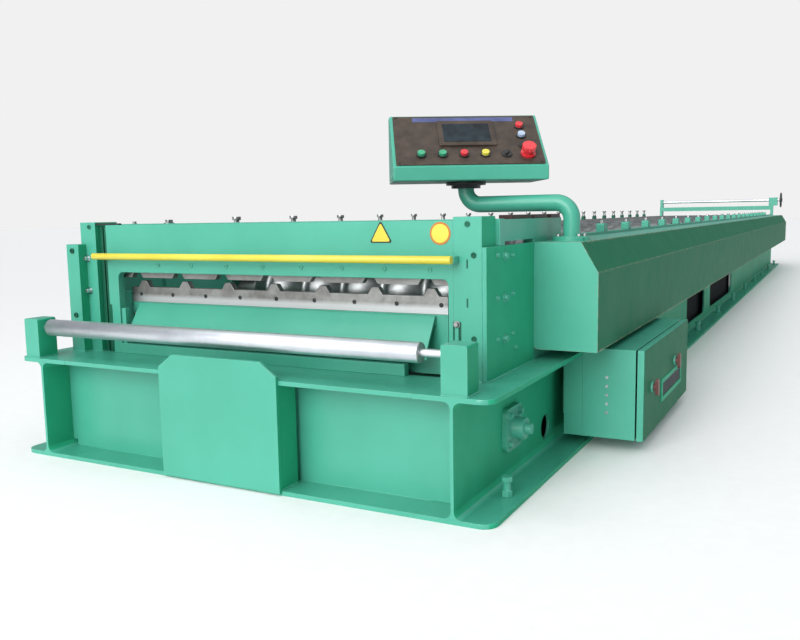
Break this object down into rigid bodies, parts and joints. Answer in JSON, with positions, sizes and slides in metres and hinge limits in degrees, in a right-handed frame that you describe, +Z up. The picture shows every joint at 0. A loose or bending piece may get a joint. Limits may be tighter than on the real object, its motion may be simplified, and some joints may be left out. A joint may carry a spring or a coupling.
{
  "type": "roll forming machine",
  "caption": "Long roll forming line for ribbed roof sheet on a steel beam base, with profile shear, chain guard and swivelling control panel.",
  "frame": {"origin": "floor level under the web of the exit-end cross beam, on the centreline between the side beams", "axes": "+X across the machine towards the chain guard, +Y along it from the exit end towards the entry end, +Z up"},
  "size_m": [1.7523, 10.01, 1.009],
  "materials": {
    "green_enamel": "gloss enamel",
    "yellow_paint": "gloss enamel",
    "bright_steel": "ground",
    "roll_chrome": "hard chrome",
    "plain_steel": "zinc plated",
    "cast_housing": "painted casting",
    "black_plastic": "matte",
    "screen_glass": "gloss",
    "red_plastic": "gloss"
  },
  "bodies": {
    "base": {"adjusting_screws": "plain_steel", "bearing_blocks_left": "cast_housing", "bearing_blocks_right": "cast_housing", "bearing_caps_left": "green_enamel", "bearing_caps_right": "green_enamel", "cabinet_hinges": "green_enamel", "cable_box": "green_enamel", "chain_guard": "green_enamel", "control_arm": "green_enamel", "electrical_cabinet": "green_enamel", "entry_crossbeam": "green_enamel", "front_bearing_unit": "cast_housing", "front_cover_plate": "green_enamel", "front_cross_beam": "green_enamel", "front_stiffeners": "green_enamel", "guard_bar_holder_left": "green_enamel", "guard_bar_holder_right": "green_enamel", "hand_guard_bar": "yellow_paint", "levelling_bolts_left": "plain_steel", "levelling_bolts_right": "plain_steel", "lower_blade": "bright_steel", "lower_blade_beam": "green_enamel", "lower_forming_rolls": "roll_chrome", "outfeed_chute": "green_enamel", "rear_cross_beam": "green_enamel", "roller_bracket_left": "green_enamel", "roller_bracket_right": "green_enamel", "shear_crosshead": "green_enamel", "shear_front_plate": "green_enamel", "shear_front_sill": "green_enamel", "shear_left_bracket": "green_enamel", "shear_post_left": "green_enamel", "shear_post_right": "green_enamel", "shear_rear_plate_lower": "green_enamel", "shear_rear_plate_upper": "green_enamel", "shear_side_plate_left": "green_enamel", "shear_side_plate_right": "green_enamel", "side_beam_left": "green_enamel", "side_beam_right": "green_enamel", "side_wall_left": "green_enamel", "side_wall_right": "green_enamel", "spindle_bracket_left": "green_enamel", "spindle_bracket_right": "green_enamel", "upper_forming_rolls": "roll_chrome", "wall_head_rail": "green_enamel"},
    "roller": {"support_roller": "bright_steel"},
    "ram": {"blade_ram": "green_enamel", "upper_blade": "bright_steel"},
    "door": {"cabinet_door": "green_enamel", "door_window": "green_enamel"},
    "main_handle": {"main_switch_handle": "black_plastic"},
    "second_handle": {"second_switch_handle": "black_plastic"},
    "panel": {"swivel_flange": "black_plastic", "control_panel": "green_enamel", "panel_face": "black_plastic", "panel_screen": "screen_glass", "panel_controls": "black_plastic", "emergency_stop": "red_plastic"},
    "spindle": {"guide_spindle": "bright_steel", "hand_wheel": "black_plastic"}
  },
  "joints": [
    {"name": "roller_turn", "type": "hinge", "parent": "base", "child": "roller", "pos_m": [0, -0.059, 0.39], "axis": [1, 0, 0], "continuous": true},
    {"name": "ram_stroke", "type": "slide", "parent": "base", "child": "ram", "axis": [0, 0, 1], "range_m": [-0.04, 0]},
    {"name": "door_swing", "type": "hinge", "parent": "base", "child": "door", "pos_m": [0.946, 1.421, 0.1755], "axis": [0, 0, 1], "range_deg": [0, 110]},
    {"name": "main_switch_turn", "type": "hinge", "parent": "door", "child": "main_handle", "pos_m": [0.962, 0.745, 0.184], "axis": [1, 0, 0], "range_deg": [0, 90]},
    {"name": "second_switch_turn", "type": "hinge", "parent": "door", "child": "second_handle", "pos_m": [0.962, 1.13, 0.202], "axis": [1, 0, 0], "range_deg": [0, 90]},
    {"name": "panel_swivel", "type": "hinge", "parent": "base", "child": "panel", "pos_m": [0.428, 0.572, 0.787], "axis": [0, 0, 1], "range_deg": [-90, 90]},
    {"name": "spindle_turn", "type": "hinge", "parent": "base", "child": "spindle", "pos_m": [0, 9.8, 0.815], "axis": [1, 0, 0], "continuous": true}
  ]
}
